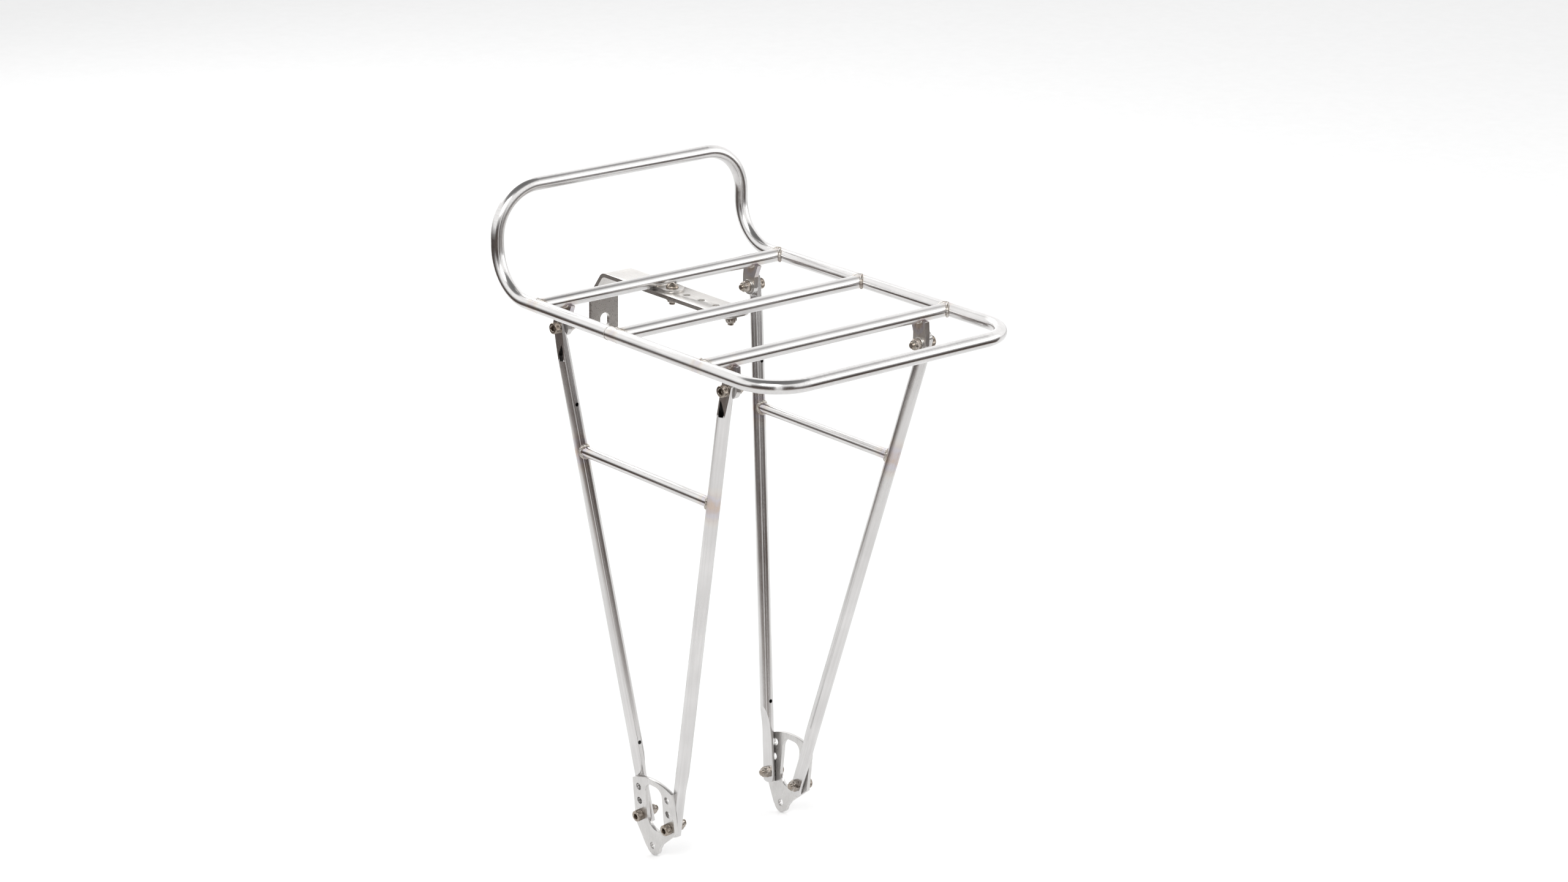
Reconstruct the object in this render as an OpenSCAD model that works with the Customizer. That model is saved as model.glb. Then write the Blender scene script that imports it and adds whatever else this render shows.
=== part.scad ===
// Tubular bicycle luggage rack with a raised hoop, four bolted legs and a slotted crown bracket.
// Millimetres. +Z up, +Y towards the raised hoop, X across. The origin is the midpoint between
// the two dropout eyelets, and the X axis runs through both eyelet holes.

/* [Platform] */
// Distance between the centre lines of the two side rails
rail_span = 230; // [222:1:240]
// Outer diameter of the hoop, cross and leg tubes
tube_d = 10; // [9.5:0.1:10.4]
// Wall thickness of every tube
tube_wall = 1.2; // [1:0.1:1.5]
// Height of the platform tubes above the eyelets
platform_z = 413; // [400:1:430]
// Place of the middle cross tube along Y
middle_y = -20.5; // [-24:0.5:-17]
// Distance between neighbouring cross tubes
cross_pitch = 93; // [91:0.5:95]
// Distance from the front cross tube to the front bar
front_overhang = 74; // [70:1:84]
// Bend radius of the two front corners
front_bend_r = 32; // [28:1:40]

/* [Raised hoop] */
// Distance from the rear cross tube to the plane of the raised hoop
hoop_setback = 47; // [45:1:52]
// Height of the top bar above the platform tubes
hoop_h = 75.5; // [72:0.5:90]
// Bend radius of the bends in the raised hoop
hoop_bend_r = 35; // [30:1:36]

/* [Legs] */
// Distance between the two dropout eyelets, plate centre to plate centre
eyelet_span = 126; // [120:1:132]
// Outward lean of each pair of legs, in degrees
lean = 5.29; // [5.1:0.01:5.5]
// Place of the rear leg's upper bolt behind the rear cross tube
rear_bolt_offset = 2.5; // [1:0.5:3]
// Place of the front leg's upper bolt ahead of the front cross tube
front_bolt_offset = 2; // [1:0.5:3]
// Depth of the upper bolts below the platform tubes
upper_bolt_drop = 20.5; // [20:0.5:22]
// Place along Y of the rear leg's lower bolt
rear_foot_y = 11.8; // [11:0.1:12.6]
// Place along Y of the front leg's lower bolt
front_foot_y = -21.7; // [-22.6:0.1:-21]
// Height of the lower bolts above the eyelets, measured along the plate
foot_z = 22.2; // [21:0.1:23]
// Outer diameter of the two side braces
brace_d = 8; // [7:0.5:9]
// Height of the side braces above the eyelets, measured along the leg plane
brace_z = 302; // [200:1:320]

/* [Dropout plates] */
// Thickness of the dropout plates
plate_t = 3; // [2.5:0.1:3.5]
// Diameter of the eyelet holes
eyelet_d = 5.5; // [5.2:0.1:6]
// Spacing of the height adjustment holes
adjust_pitch = 11.7; // [11:0.1:12]

/* [Crown bracket] */
// Width of the bracket strip
strip_w = 25.5; // [24:0.5:28]
// Thickness of the bracket strip
strip_t = 3; // [2.5:0.1:3.5]
// Spacing of the holes along the strip
strip_pitch = 16.9; // [16.5:0.1:17.2]
// Width of the slot in the hanging end
slot_w = 8.6; // [6:0.1:9]
// End to end length of the slot
slot_len = 12.5; // [10:0.5:13]

/* [Fasteners] */
// Diameter of the clearance holes for the screws
clear_d = 5.5; // [5.3:0.1:6]

/* [Hidden] */
$fn = 64;
eps = 0.01;

steel = [0.80, 0.79, 0.78];
fastener_steel = [0.55, 0.53, 0.50];
nylon = [0.90, 0.90, 0.86];

// Platform and hoop
tube_r = tube_d / 2;
rail_x = rail_span / 2;
rear_y = middle_y + cross_pitch;
front_y = middle_y - cross_pitch;
bar_y = front_y - front_overhang;
upright_y = rear_y + hoop_setback;
top_z = platform_z + hoop_h;
vent_d = 3;
cross_end_x = rail_x - 2;

// Legs
leg_seat = 4.6;
leg_axis_x = -plate_t / 2 - leg_seat;
upper_bolt_z = platform_z - upper_bolt_drop;
rear_bolt_y = rear_y + rear_bolt_offset;
front_bolt_y = front_y - front_bolt_offset;
leg_rise = (upper_bolt_z + leg_axis_x * sin(lean)) / cos(lean) - foot_z;
leg_over = 30;
slab_in = 90;
slab_t = 4.2;
slab_out = slab_in + slab_t;
slab_tip = 8.7;
slab_tip_r = 5.4;
tab_t = 4;
tab_r = 6.8;
tab_flare = 8;
tab_neck = 8;
inner_step = 8.2;
rear_outer_step = 24;
front_outer_step = 20;
notch_h = 12;
flat_depth = 4.1;
flat_top = 74;
flat_run_r = 60;
flat_runout = sqrt(flat_run_r * flat_run_r - pow(flat_run_r - flat_depth, 2));
foot_tip = 8.4;
leg_vent_low = 78;
leg_vent_high = 341;

// Dropout plates, in the plane of the plate
plate_rear_y = 18.4;
plate_front_y = -28.4;
plate_mid_y = -6.3;
plate_top_z = 56.8;
plate_tip_r = 7.6;
window_half = 9.8;
window_low_z = 24.4;
window_high_z = 52.2;
window_corner_r = 7;

// Bracket
bracket_gap = 0.2;
strip_top = platform_z - tube_r - bracket_gap;
strip_near_y = middle_y + 4;
strip_first_hole = rear_y - 12.4;
strip_holes = 5;
strip_corner_r = 7;
bend_y = rear_y + 52.3;
slant = 54;
bend_r = 4.5;
bend_steps = 8;
slant_len = 20;
hang_len = 28.6;
hang_corner_r = 4;
bracket_tab_t = 2;
bracket_tab_r = 9;
slot_from_bottom = 3.4;

// Fasteners
screw_d = 5;
cap_head_d = 8.5;
cap_head_h = 5;
cap_socket = 4;
cap_socket_depth = 2.6;
button_head_d = 9.5;
button_head_h = 2.75;
button_dome_r = 5.6;
button_crown = 0.35;
button_socket = 3;
button_socket_depth = 1.6;
washer_d = 10;
washer_t = 1;
nut_af = 8;
nut_h = 5;
nut_hex_h = 3.7;
nut_collar_d = 7.4;
insert_d = 6.2;
insert_h = 1.1;
insert_lip = 0.3;
screw_proud = 2;
chamfer = 0.4;
hex_ratio = 1 / cos(30);

// Shared shapes

module tube_ring(d) {
    difference() {
        circle(d = d);
        circle(d = d - 2 * tube_wall);
    }
}

// Straight tube along +Z from the origin
module straight(len, d = tube_d) {
    linear_extrude(len) tube_ring(d);
}

// Quarter bend about the Z axis, from the +X side to the +Y side
module quarter_bend(r) {
    rotate_extrude(angle = 90) translate([r, 0]) tube_ring(tube_d);
}

// Solid bar along X through the origin, used to cut holes and copes
module bar_x(len, d) {
    rotate([0, 90, 0]) cylinder(d = d, h = len, center = true);
}

module bar_y(len, d) {
    rotate([90, 0, 0]) cylinder(d = d, h = len, center = true);
}

// Places children in the leaning plane of the right dropout plate and legs
module side_plane() {
    translate([eyelet_span / 2, 0, 0]) rotate([0, lean, 0]) children();
}

// Runs from a leg's lower bolt to its upper bolt along +Z, in the side plane
module along_leg(foot_y, top_y) {
    side_plane() translate([leg_axis_x, foot_y, foot_z])
        rotate([-atan2(top_y - foot_y, leg_rise), 0, 0]) children();
}

function leg_len(foot_y, top_y) = norm([top_y - foot_y, leg_rise]);

// Platform

module hoop_half() {
    translate([0, bar_y, platform_z]) rotate([0, 90, 0]) straight(rail_x - front_bend_r);
    translate([rail_x - front_bend_r, bar_y + front_bend_r, platform_z])
        rotate([0, 0, -90]) quarter_bend(front_bend_r);
    translate([rail_x, bar_y + front_bend_r, platform_z]) rotate([-90, 0, 0])
        straight(upright_y - hoop_bend_r - bar_y - front_bend_r);
    translate([rail_x, upright_y - hoop_bend_r, platform_z + hoop_bend_r])
        rotate([0, 90, 0]) quarter_bend(hoop_bend_r);
    translate([rail_x, upright_y, platform_z + hoop_bend_r])
        straight(hoop_h - 2 * hoop_bend_r);
    translate([rail_x - hoop_bend_r, upright_y, top_z - hoop_bend_r])
        rotate([90, 0, 0]) quarter_bend(hoop_bend_r);
    translate([0, upright_y, top_z]) rotate([0, 90, 0]) straight(rail_x - hoop_bend_r);
}

module hoop() {
    color(steel) difference() {
        union() {
            hoop_half();
            mirror([1, 0, 0]) hoop_half();
        }
        for (y = [front_y, middle_y, rear_y])
            for (side = [-1, 1])
                translate([side * (rail_x - tube_r), y, platform_z]) bar_x(4, vent_d);
    }
}

module cross_tube(y) {
    color(steel) difference() {
        translate([-cross_end_x, y, platform_z]) rotate([0, 90, 0]) straight(2 * cross_end_x);
        for (side = [-1, 1])
            translate([side * rail_x, y, platform_z]) bar_y(3 * tube_d, tube_d);
    }
}

// Vertical plate under a cross tube, with the hole for a leg's upper bolt
module leg_tab(tube_y, bolt_y) {
    color(steel) difference() {
        translate([slab_in - tab_t, 0, 0]) rotate([90, 0, 90]) linear_extrude(tab_t) union() {
            translate([bolt_y, upper_bolt_z]) circle(r = tab_r);
            polygon([[bolt_y - tab_r, upper_bolt_z], [bolt_y + tab_r, upper_bolt_z],
                [bolt_y + tab_r, upper_bolt_z + tab_neck], [tube_y + tab_flare, platform_z - tube_r + 2],
                [tube_y - tab_flare, platform_z - tube_r + 2], [bolt_y - tab_r, upper_bolt_z + tab_neck]]);
        }
        translate([slab_in, tube_y, platform_z]) bar_x(6 * tab_t, tube_d);
        translate([slab_in, tube_y, platform_z + tube_r]) cube([6 * tab_t, 4 * tube_d, tube_d], center = true);
        translate([slab_in, bolt_y, upper_bolt_z]) bar_x(6 * tab_t, clear_d);
    }
}

// Legs

// Flat tongue at the head of a leg, seen along X
module slab_outline(bolt_y) {
    translate([bolt_y, upper_bolt_z + slab_tip - slab_tip_r]) circle(r = slab_tip_r);
    translate([bolt_y - 20, upper_bolt_z - 60]) square([40, 60 + slab_tip - slab_tip_r]);
}

module leg(foot_y, top_y, outer_step) {
    len = leg_len(foot_y, top_y);
    notch_z = upper_bolt_z - outer_step;
    leg_y = top_y - (top_y - foot_y) * outer_step / leg_rise;
    color(steel) difference() {
        along_leg(foot_y, top_y) translate([0, 0, -leg_over]) cylinder(d = tube_d, h = len + 2 * leg_over);
        // bore up to the outer step, then only inside the pointed notch
        intersection() {
            along_leg(foot_y, top_y) translate([0, 0, flat_top - foot_z])
                cylinder(d = tube_d - 2 * tube_wall, h = len);
            union() {
                translate([-200, -200, -50]) cube([400, 400, notch_z + 50]);
                translate([50, 0, 0]) rotate([90, 0, 90]) linear_extrude(80)
                    polygon([[leg_y - tube_r, notch_z - eps], [leg_y + tube_r, notch_z - eps],
                        [leg_y, notch_z + notch_h]]);
            }
        }
        // outer half cut away above the step
        translate([slab_out, top_y - 20, notch_z]) cube([20, 40, 80]);
        // inner side cut back where the tab lies against the leg
        translate([slab_in - 20, top_y - 20, upper_bolt_z - inner_step]) cube([20, 40, 80]);
        // rounded tip
        difference() {
            translate([slab_in - 10, top_y - 20, upper_bolt_z]) cube([20, 40, 60]);
            translate([slab_in - 20, 0, 0]) rotate([90, 0, 90]) linear_extrude(40) slab_outline(top_y);
        }
        translate([slab_in, top_y, upper_bolt_z]) bar_x(20, clear_d);
        // outer seat against the dropout plate
        side_plane() translate([-plate_t / 2, foot_y - 30, -30]) cube([10, 60, 100]);
        // inner flat for the nut, with a curved run-out
        side_plane() translate([leg_axis_x - tube_r - 10 + flat_depth, foot_y - 30, -30])
            cube([10, 60, 30 + flat_top - flat_runout]);
        side_plane() translate([leg_axis_x - tube_r + flat_depth - flat_run_r, foot_y, flat_top - flat_runout])
            bar_y(60, 2 * flat_run_r);
        // rounded lower tip
        difference() {
            side_plane() translate([-20, foot_y - 30, -40]) cube([40, 60, 40 + foot_z]);
            side_plane() translate([-20, foot_y, foot_z]) rotate([0, 90, 0]) cylinder(r = foot_tip, h = 40);
        }
        side_plane() translate([leg_axis_x, foot_y, foot_z]) bar_x(20, clear_d);
        // breather holes facing the other leg of the pair
        for (z = [leg_vent_low, leg_vent_high])
            along_leg(foot_y, top_y) translate([0, (top_y > foot_y ? -1 : 1) * tube_r, z - foot_z])
                bar_y(6, vent_d);
    }
}

module brace() {
    color(steel) difference() {
        side_plane() translate([leg_axis_x, front_bolt_y, brace_z])
            rotate([-90, 0, 0]) straight(rear_bolt_y - front_bolt_y, brace_d);
        along_leg(rear_foot_y, rear_bolt_y) brace_trim();
        mirror([0, 1, 0]) along_leg(-front_foot_y, -front_bolt_y) brace_trim();
    }
}

// Everything from a leg's centre line outwards, less a saddle as wide as the leg
module brace_trim() {
    cylinder(d = tube_d, h = leg_rise);
    translate([-10, 0, 0]) cube([20, 60, leg_rise]);
}

// Dropout plates

module plate_outline() {
    difference() {
        intersection() {
            union() {
                polygon([[plate_rear_y, 60], [plate_front_y, 60], [plate_front_y, 19],
                    [-11, 4.2], [-plate_tip_r + 0.2, -1], [plate_tip_r, -3], [plate_rear_y, 15.2]]);
                circle(r = plate_tip_r);
            }
            translate([plate_mid_y, 0]) circle(r = plate_top_z, $fn = 180);
        }
        plate_window();
    }
}

// Tall opening between the two columns of holes, round at the foot and arched at the top
module plate_window() {
    corner = window_half - window_corner_r;
    translate([plate_mid_y, window_low_z]) circle(r = window_half);
    translate([plate_mid_y - window_half, window_low_z])
        square([2 * window_half, window_high_z - window_low_z - window_corner_r]);
    translate([plate_mid_y - corner, window_low_z]) square([2 * corner, window_high_z - window_low_z]);
    for (side = [-1, 1])
        translate([plate_mid_y + side * corner, window_high_z - window_corner_r])
            circle(r = window_corner_r);
}

module dropout_plate() {
    color(steel) difference() {
        side_plane() translate([-plate_t / 2, 0, 0]) rotate([90, 0, 90]) linear_extrude(plate_t)
            plate_outline();
        for (column = [rear_foot_y, front_foot_y])
            for (i = [0:2])
                side_plane() translate([0, column, foot_z + i * adjust_pitch]) bar_x(20, clear_d);
        translate([eyelet_span / 2, 0, 0]) bar_x(30, eyelet_d);
    }
}

// Crown bracket

module crown_bracket() {
    hang_plane_y = bend_y + cos(slant) * slant_len + bend_r;
    hang_foot_z = strip_top - strip_t - bend_r - sin(slant) * slant_len - hang_len;
    color(steel) difference() {
        translate([-strip_w / 2, bend_y, strip_top - strip_t - bend_r])
            rotate([90, 0, 90]) linear_extrude(strip_w) strip_profile();
        for (i = [0:strip_holes - 1])
            translate([0, strip_first_hole - i * strip_pitch, strip_top - 2 * strip_t])
                cylinder(d = clear_d, h = 3 * strip_t);
        translate([0, strip_near_y, strip_top - 2 * strip_t]) linear_extrude(3 * strip_t)
            corner_waste(strip_corner_r);
        translate([0, hang_plane_y + 2 * strip_t, hang_foot_z]) rotate([90, 0, 0])
            linear_extrude(3 * strip_t) corner_waste(hang_corner_r);
        translate([0, hang_plane_y + 2 * strip_t, hang_foot_z + slot_from_bottom])
            rotate([90, 0, 0]) linear_extrude(3 * strip_t) slot_outline();
    }
}

// Points along an arc about a centre, from angle a0 to a1, both measured from straight up
function arc(centre, r, a0, a1) =
    [for (i = [0:bend_steps])
        centre + r * [sin(a0 + (a1 - a0) * i / bend_steps), cos(a0 + (a1 - a0) * i / bend_steps)]];

// Side view of the bent strip, from the axis of the first bend
module strip_profile() {
    level_len = bend_y - strip_near_y;
    outer_r = bend_r + strip_t;
    bend_1 = [0, 0];
    bend_2 = slant_len * [cos(slant), -sin(slant)];
    foot = -slant_len * sin(slant) - hang_len;
    polygon(concat([[-level_len, outer_r]], arc(bend_1, outer_r, 0, slant), arc(bend_2, outer_r, slant, 90),
        [[bend_2.x + outer_r, foot], [bend_2.x + bend_r, foot]],
        arc(bend_2, bend_r, 90, slant), arc(bend_1, bend_r, slant, 0), [[-level_len, bend_r]]));
}

// What is cut off to round the two corners of an end that lies along y = 0
module corner_waste(r) {
    for (side = [-1, 1])
        difference() {
            translate([side * (strip_w / 2 - r / 2 + 1), r / 2 - 1]) square([r + 2, r + 2], center = true);
            translate([side * (strip_w / 2 - r), r]) circle(r = r);
        }
}

module slot_outline() {
    translate([-slot_w / 2, slot_w / 2]) square([slot_w, slot_len - slot_w]);
    for (y = [slot_w / 2, slot_len - slot_w / 2])
        translate([0, y]) circle(d = slot_w);
}

// Tab beside a cross tube, lying on the strip; way is -1 towards the front, 1 towards the rear
module bracket_tab(tube_y, bolt_y, way) {
    color(steel) difference() {
        translate([0, 0, strip_top]) linear_extrude(bracket_tab_t) union() {
            translate([0, bolt_y]) circle(r = bracket_tab_r);
            translate([-bracket_tab_r, min(tube_y, bolt_y)])
                square([2 * bracket_tab_r, abs(bolt_y - tube_y)]);
        }
        translate([0, tube_y, platform_z]) bar_x(60, tube_d);
        translate([-30, way > 0 ? tube_y - 30 : tube_y, strip_top - 1]) cube([60, 30, 10]);
        translate([0, bolt_y, strip_top - 5]) cylinder(d = clear_d, h = 20);
    }
}

// Fasteners, all along Z with the head's seat at z = 0 and the head above it

module cap_screw(grip) {
    color(fastener_steel) difference() {
        union() {
            rotate_extrude() polygon([[0, 0], [cap_head_d / 2, 0], [cap_head_d / 2, cap_head_h - chamfer],
                [cap_head_d / 2 - chamfer, cap_head_h], [0, cap_head_h]]);
            screw_shank(grip);
        }
        translate([0, 0, cap_head_h - cap_socket_depth])
            cylinder(d = cap_socket * hex_ratio, h = cap_head_h, $fn = 6);
    }
}

module button_screw(grip) {
    color(fastener_steel) difference() {
        union() {
            intersection() {
                cylinder(d = button_head_d, h = button_head_h);
                translate([0, 0, button_head_h - button_dome_r + button_crown]) sphere(r = button_dome_r);
            }
            screw_shank(grip);
        }
        translate([0, 0, button_head_h - button_socket_depth])
            cylinder(d = button_socket * hex_ratio, h = button_head_h, $fn = 6);
    }
}

module screw_shank(grip) {
    shank = grip + nut_h + screw_proud;
    rotate_extrude() polygon([[0, 0.5], [screw_d / 2, 0.5], [screw_d / 2, chamfer - shank],
        [screw_d / 2 - chamfer, -shank], [0, -shank]]);
}

module washer() {
    color(fastener_steel) difference() {
        cylinder(d = washer_d, h = washer_t);
        translate([0, 0, -1]) cylinder(d = clear_d, h = washer_t + 2);
    }
}

// Lock nut with its seat at z = 0 and its collar below
module lock_nut() {
    color(fastener_steel) difference() {
        union() {
            translate([0, 0, -nut_hex_h]) cylinder(d = nut_af * hex_ratio, h = nut_hex_h, $fn = 6);
            translate([0, 0, -nut_h]) cylinder(d = nut_collar_d, h = nut_h - 1);
        }
        translate([0, 0, -nut_h - 1]) cylinder(d = screw_d, h = nut_h + 2);
        insert_space();
    }
}

module insert_space() {
    translate([0, 0, insert_lip - nut_h]) cylinder(d = insert_d, h = insert_h);
}

module nylon_insert() {
    color(nylon) difference() {
        insert_space();
        translate([0, 0, -nut_h - 1]) cylinder(d = screw_d, h = nut_h + 2);
    }
}

// Places a fastener group: children(0) is put at each place with its axis along the bolt

module at_upper() {
    for (y = [rear_bolt_y, front_bolt_y])
        translate([slab_out, y, upper_bolt_z]) rotate([0, 90, 0]) children();
}

module at_lower() {
    for (y = [rear_foot_y, front_foot_y])
        side_plane() translate([plate_t / 2, y, foot_z]) rotate([0, 90, 0]) children();
}

module at_bracket() {
    for (i = [0, strip_holes - 1])
        translate([0, strip_first_hole - i * strip_pitch, strip_top + bracket_tab_t]) children();
}

module left() {
    mirror([1, 0, 0]) children();
}

upper_grip = slab_t + tab_t + washer_t;
lower_grip = plate_t + leg_seat + tube_r - flat_depth;
bracket_grip = bracket_tab_t + strip_t + washer_t;

module nylon_inserts() {
    for (side = [0, 1])
        mirror([side, 0, 0]) {
            at_upper() translate([0, 0, -upper_grip]) nylon_insert();
            at_lower() translate([0, 0, -lower_grip]) nylon_insert();
        }
    at_bracket() translate([0, 0, -bracket_grip]) nylon_insert();
}

hoop();
cross_tube(rear_y);  // cross_tube_rear
cross_tube(middle_y);  // cross_tube_middle
cross_tube(front_y);  // cross_tube_front
left() leg_tab(rear_y, rear_bolt_y);  // leg_tab_rear_left
leg_tab(rear_y, rear_bolt_y);  // leg_tab_rear_right
left() leg_tab(front_y, front_bolt_y);  // leg_tab_front_left
leg_tab(front_y, front_bolt_y);  // leg_tab_front_right
bracket_tab(rear_y, strip_first_hole, -1);  // bracket_tab_rear
bracket_tab(middle_y, strip_first_hole - (strip_holes - 1) * strip_pitch, 1);  // bracket_tab_middle
crown_bracket();
left() leg(rear_foot_y, rear_bolt_y, rear_outer_step);  // leg_rear_left
leg(rear_foot_y, rear_bolt_y, rear_outer_step);  // leg_rear_right
left() leg(front_foot_y, front_bolt_y, front_outer_step);  // leg_front_left
leg(front_foot_y, front_bolt_y, front_outer_step);  // leg_front_right
left() brace();  // brace_left
brace();  // brace_right
left() dropout_plate();  // dropout_plate_left
dropout_plate();  // dropout_plate_right
left() at_upper() cap_screw(upper_grip);  // cap_screws_upper_left
at_upper() cap_screw(upper_grip);  // cap_screws_upper_right
left() at_upper() translate([0, 0, -upper_grip]) washer();  // washers_upper_left
at_upper() translate([0, 0, -upper_grip]) washer();  // washers_upper_right
left() at_upper() translate([0, 0, -upper_grip]) lock_nut();  // lock_nuts_upper_left
at_upper() translate([0, 0, -upper_grip]) lock_nut();  // lock_nuts_upper_right
left() at_lower() cap_screw(lower_grip);  // cap_screws_lower_left
at_lower() cap_screw(lower_grip);  // cap_screws_lower_right
left() at_lower() translate([0, 0, -lower_grip]) lock_nut();  // lock_nuts_lower_left
at_lower() translate([0, 0, -lower_grip]) lock_nut();  // lock_nuts_lower_right
at_bracket() button_screw(bracket_grip);  // button_screws_bracket
at_bracket() translate([0, 0, -bracket_grip]) washer();  // washers_bracket
at_bracket() translate([0, 0, -bracket_grip]) lock_nut();  // lock_nuts_bracket
nylon_inserts();
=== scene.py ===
"""Looks of the tubular bicycle luggage rack: polished tubes, satin plates, welds and threaded fasteners."""
import math

import bmesh
import bpy
from mathutils import Matrix, Vector


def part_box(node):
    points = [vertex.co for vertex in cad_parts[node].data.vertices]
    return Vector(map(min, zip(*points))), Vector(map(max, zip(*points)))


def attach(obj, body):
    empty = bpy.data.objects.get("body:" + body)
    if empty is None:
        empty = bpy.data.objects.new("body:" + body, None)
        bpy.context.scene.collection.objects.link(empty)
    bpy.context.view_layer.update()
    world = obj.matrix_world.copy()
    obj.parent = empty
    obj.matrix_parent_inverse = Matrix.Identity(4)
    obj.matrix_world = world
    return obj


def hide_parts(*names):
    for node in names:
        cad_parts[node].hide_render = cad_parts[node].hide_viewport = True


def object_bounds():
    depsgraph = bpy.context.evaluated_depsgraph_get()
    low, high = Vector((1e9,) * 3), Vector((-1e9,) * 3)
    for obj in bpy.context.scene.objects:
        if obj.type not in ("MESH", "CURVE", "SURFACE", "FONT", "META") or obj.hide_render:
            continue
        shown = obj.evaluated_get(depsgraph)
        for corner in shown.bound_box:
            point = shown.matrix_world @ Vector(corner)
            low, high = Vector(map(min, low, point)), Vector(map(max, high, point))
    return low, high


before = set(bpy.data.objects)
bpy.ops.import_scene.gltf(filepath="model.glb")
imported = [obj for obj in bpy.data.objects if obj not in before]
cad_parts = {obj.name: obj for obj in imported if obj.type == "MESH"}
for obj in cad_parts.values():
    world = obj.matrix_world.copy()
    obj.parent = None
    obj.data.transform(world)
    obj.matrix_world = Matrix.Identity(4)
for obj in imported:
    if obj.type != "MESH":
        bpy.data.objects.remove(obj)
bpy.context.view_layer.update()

MM = 0.001
UP, ACROSS, ALONG = Vector((0, 0, 1)), Vector((1, 0, 0)), Vector((0, 1, 0))

# Driving sizes, in metres, the same as in the CAD part
TUBE_R, BRACE_R = 5.0 * MM, 4.0 * MM
LEAN = math.radians(5.29)
EYELET_HALF = 63.0 * MM
PLATE_T = 3.0 * MM
FOOT_Z = 22.2 * MM
# A foot's flat rests on its plate this far from the leg's axis, and its inner face is this far past the axis
LEG_SEAT, FOOT_INNER = 4.6 * MM, 0.9 * MM

# M5 fasteners
SCREW_R, THREAD_PITCH, THREAD_DEPTH = 2.5 * MM, 0.8 * MM, 0.42 * MM
SCREW_PROUD = 2.0 * MM
CAP_HEAD_R, CAP_HEAD_H, CAP_SOCKET, CAP_SOCKET_DEPTH = 4.25 * MM, 5.0 * MM, 4.0 * MM, 2.6 * MM
KNURL_ROWS, KNURL_DEPTH = 6, 0.16 * MM
BUTTON_HEAD_R, BUTTON_HEAD_H, BUTTON_SOCKET, BUTTON_SOCKET_DEPTH = 4.75 * MM, 2.75 * MM, 3.0 * MM, 1.6 * MM
BUTTON_CROWN_R = 2.35 * MM
NUT_AF, NUT_H, NUT_HEX_H, NUT_COLLAR_R = 8.0 * MM, 5.0 * MM, 3.7 * MM, 3.7 * MM
WASHER_R, WASHER_T = 5.0 * MM, 1.0 * MM
UPPER_GRIP, LOWER_GRIP, BRACKET_GRIP = 9.2 * MM, PLATE_T + LEG_SEAT + FOOT_INNER, 6.0 * MM

# Welds and edges
TUBE_WELD, BRACE_WELD, LEG_TAB_WELD, BRACKET_TAB_WELD = 1.5 * MM, 1.9 * MM, 0.95 * MM, 1.0 * MM
BRACKET_WELD_END = 0.4 * MM
SEAM_Y, SEAM_WELD, SEAM_PITCH = -12.5 * MM, 0.28 * MM, 0.8 * MM
EDGE_WEAR = 0.25 * MM


# ---------------------------------------------------------------- node helpers

def fill_ramp(ramp, stops):
    """Sets a colour ramp's stops, each a place and a colour."""
    while len(ramp.elements) < len(stops):
        ramp.elements.new(0.5)
    for element, (place, colour) in zip(ramp.elements, stops):
        element.position = place
        element.color = (*colour, 1.0)


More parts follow.
